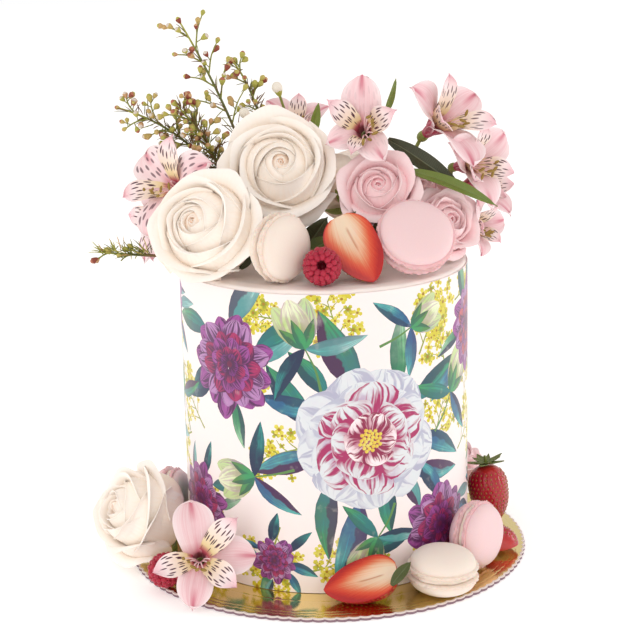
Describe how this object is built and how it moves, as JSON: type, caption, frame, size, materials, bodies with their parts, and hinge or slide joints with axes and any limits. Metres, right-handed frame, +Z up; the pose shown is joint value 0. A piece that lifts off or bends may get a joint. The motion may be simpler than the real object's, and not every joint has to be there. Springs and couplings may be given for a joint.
{
  "type": "round wedding cake",
  "caption": "Tall round iced cake on a scalloped gold board, topped and ringed with roses, Peruvian lilies, waxflower, macarons and berries.",
  "frame": {"origin": "centre of the board's underside, on the cake's axis", "axes": "+Z up along the cake's axis, -Y towards the cake's front"},
  "size_m": [0.2705, 0.254, 0.3427],
  "materials": {
    "gold_foil": "mirror-bright gold foil laid on card",
    "buttercream": "smooth frosting",
    "icing_sheet": "printed icing sheet with a satin gloss",
    "cream_petal": "soft rose petal",
    "pink_petal": "soft rose petal",
    "lily_petal": "streaked petal",
    "leaf": "waxy leaf",
    "waxflower": "thin twigs and buds",
    "cream_shell": "baked almond meringue shell",
    "pink_shell": "baked almond meringue shell",
    "filling": "soft filling",
    "strawberry": "glossy fruit",
    "raspberry": "fine-haired fruit"
  },
  "bodies": {
    "root": {"board": "gold_foil", "bud_lily": "lily_petal", "bud_wax_high": "waxflower", "bud_wax_low": "waxflower", "cake": "buttercream", "icing_sheet": "icing_sheet", "leaf_back": "leaf", "leaf_board": "leaf", "leaf_bright": "leaf", "leaf_dark": "leaf", "leaf_front": "leaf", "leaf_tip": "leaf", "lily_back": "lily_petal", "lily_base": "lily_petal", "lily_centre": "lily_petal", "lily_left_high": "lily_petal", "lily_left_low": "lily_petal", "lily_right": "lily_petal", "lily_right_edge": "lily_petal", "lily_right_high": "lily_petal", "lily_right_low": "lily_petal", "macaron_cream_base_back": "cream_shell", "macaron_cream_base_filling": "filling", "macaron_cream_base_front": "cream_shell", "macaron_cream_top_back": "cream_shell", "macaron_cream_top_filling": "filling", "macaron_cream_top_front": "cream_shell", "macaron_pink_base_back": "pink_shell", "macaron_pink_base_filling": "filling", "macaron_pink_base_front": "pink_shell", "macaron_pink_left_back": "pink_shell", "macaron_pink_left_filling": "filling", "macaron_pink_left_front": "pink_shell", "macaron_pink_top_back": "pink_shell", "macaron_pink_top_filling": "filling", "macaron_pink_top_front": "pink_shell", "raspberry_base": "raspberry", "raspberry_top": "raspberry", "rose_cream_base": "cream_petal", "rose_cream_centre": "cream_petal", "rose_cream_left": "cream_petal", "rose_cream_rear": "cream_petal", "rose_pink_base": "pink_petal", "rose_pink_front": "pink_petal", "rose_pink_inner": "pink_petal", "rose_pink_rear": "pink_petal", "rose_pink_right": "pink_petal", "sprig_left": "waxflower", "sprig_low": "waxflower", "sprig_mid": "waxflower", "sprig_right": "waxflower", "sprig_tall": "waxflower", "strawberry_calyx": "leaf", "strawberry_half_base": "strawberry", "strawberry_half_right": "strawberry", "strawberry_half_top": "strawberry", "strawberry_whole": "strawberry"}
  },
  "joints": []
}
